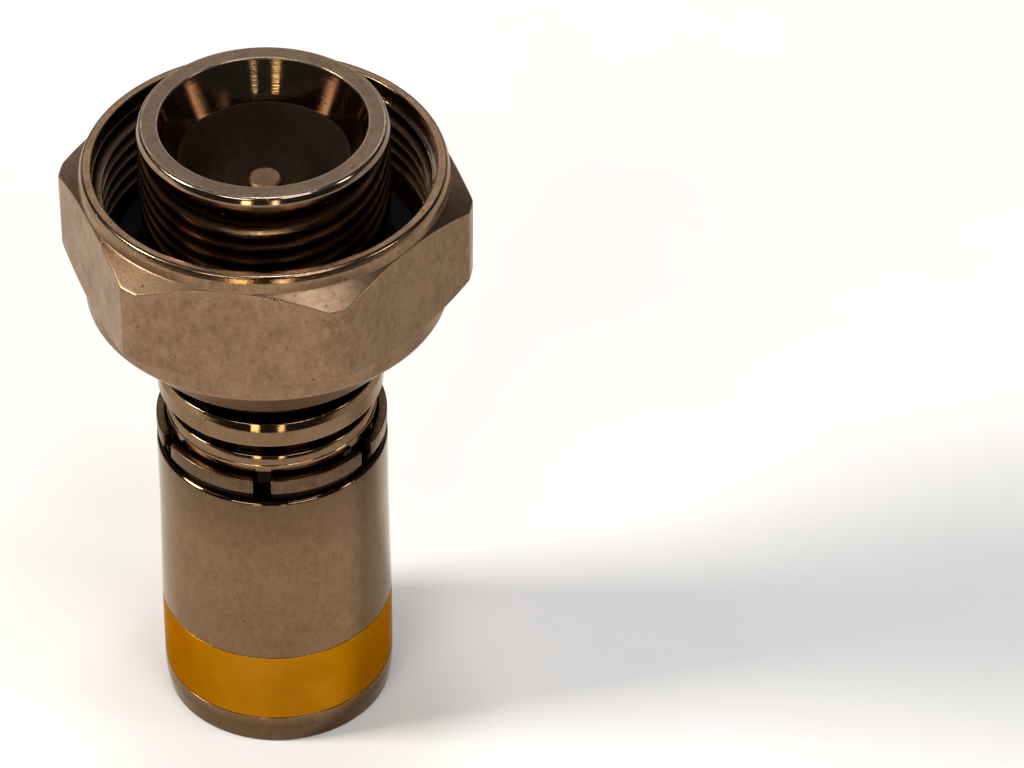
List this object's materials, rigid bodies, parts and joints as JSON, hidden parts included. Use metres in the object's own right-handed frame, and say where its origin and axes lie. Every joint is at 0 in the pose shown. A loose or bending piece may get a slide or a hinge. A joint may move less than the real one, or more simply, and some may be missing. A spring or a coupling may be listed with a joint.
{
  "type": "coaxial compression connector",
  "caption": "Straight compression plug for thick coaxial cable, with a captive hexagonal coupling nut, a contact tube with a conical mouth, a pin and a slotted collet.",
  "frame": {"origin": "centre of the compression sleeve's rear face, on which the plug stands", "axes": "+Z along the plug's axis towards the mating end; the sleeve's first collet slot faces -Y"},
  "size_m": [0.0246, 0.0232, 0.0437],
  "materials": {
    "satin_nickel": "nickel plated, satin and worn",
    "polished_nickel": "nickel plated, polished",
    "pin_nickel": "nickel plated",
    "plain_brass": "bare turned brass",
    "spring_bronze": "spring bronze",
    "yellow_lacquer": "gloss coloured band",
    "black_rubber": "moulded rubber",
    "white_acetal": "moulded acetal"
  },
  "bodies": {
    "sleeve": {"compression_sleeve": "polished_nickel", "size_band": "yellow_lacquer", "push_washer": "plain_brass", "cable_seal": "black_rubber", "grip_ferrule": "white_acetal", "lock_collet": "polished_nickel"},
    "core": {"rear_body": "polished_nickel", "sleeve_o_ring": "black_rubber", "inner_post": "plain_brass", "front_body": "polished_nickel", "face_gasket": "black_rubber", "slip_washer": "plain_brass", "retaining_ring": "spring_bronze", "hub_seal": "black_rubber", "front_insulator": "white_acetal", "insulator_keeper": "polished_nickel", "centre_pin": "pin_nickel", "clamp_ring": "spring_bronze", "pin_guide": "white_acetal"},
    "nut": {"coupling_nut": "satin_nickel"}
  },
  "joints": [
    {"name": "compression_slide", "type": "slide", "parent": "sleeve", "child": "core", "axis": [0, 0, -1], "range_m": [0, 0.0026]},
    {"name": "nut_spin", "type": "hinge", "parent": "core", "child": "nut", "pos_m": [0, 0, 0.034], "axis": [0, 0, 1], "continuous": true}
  ]
}
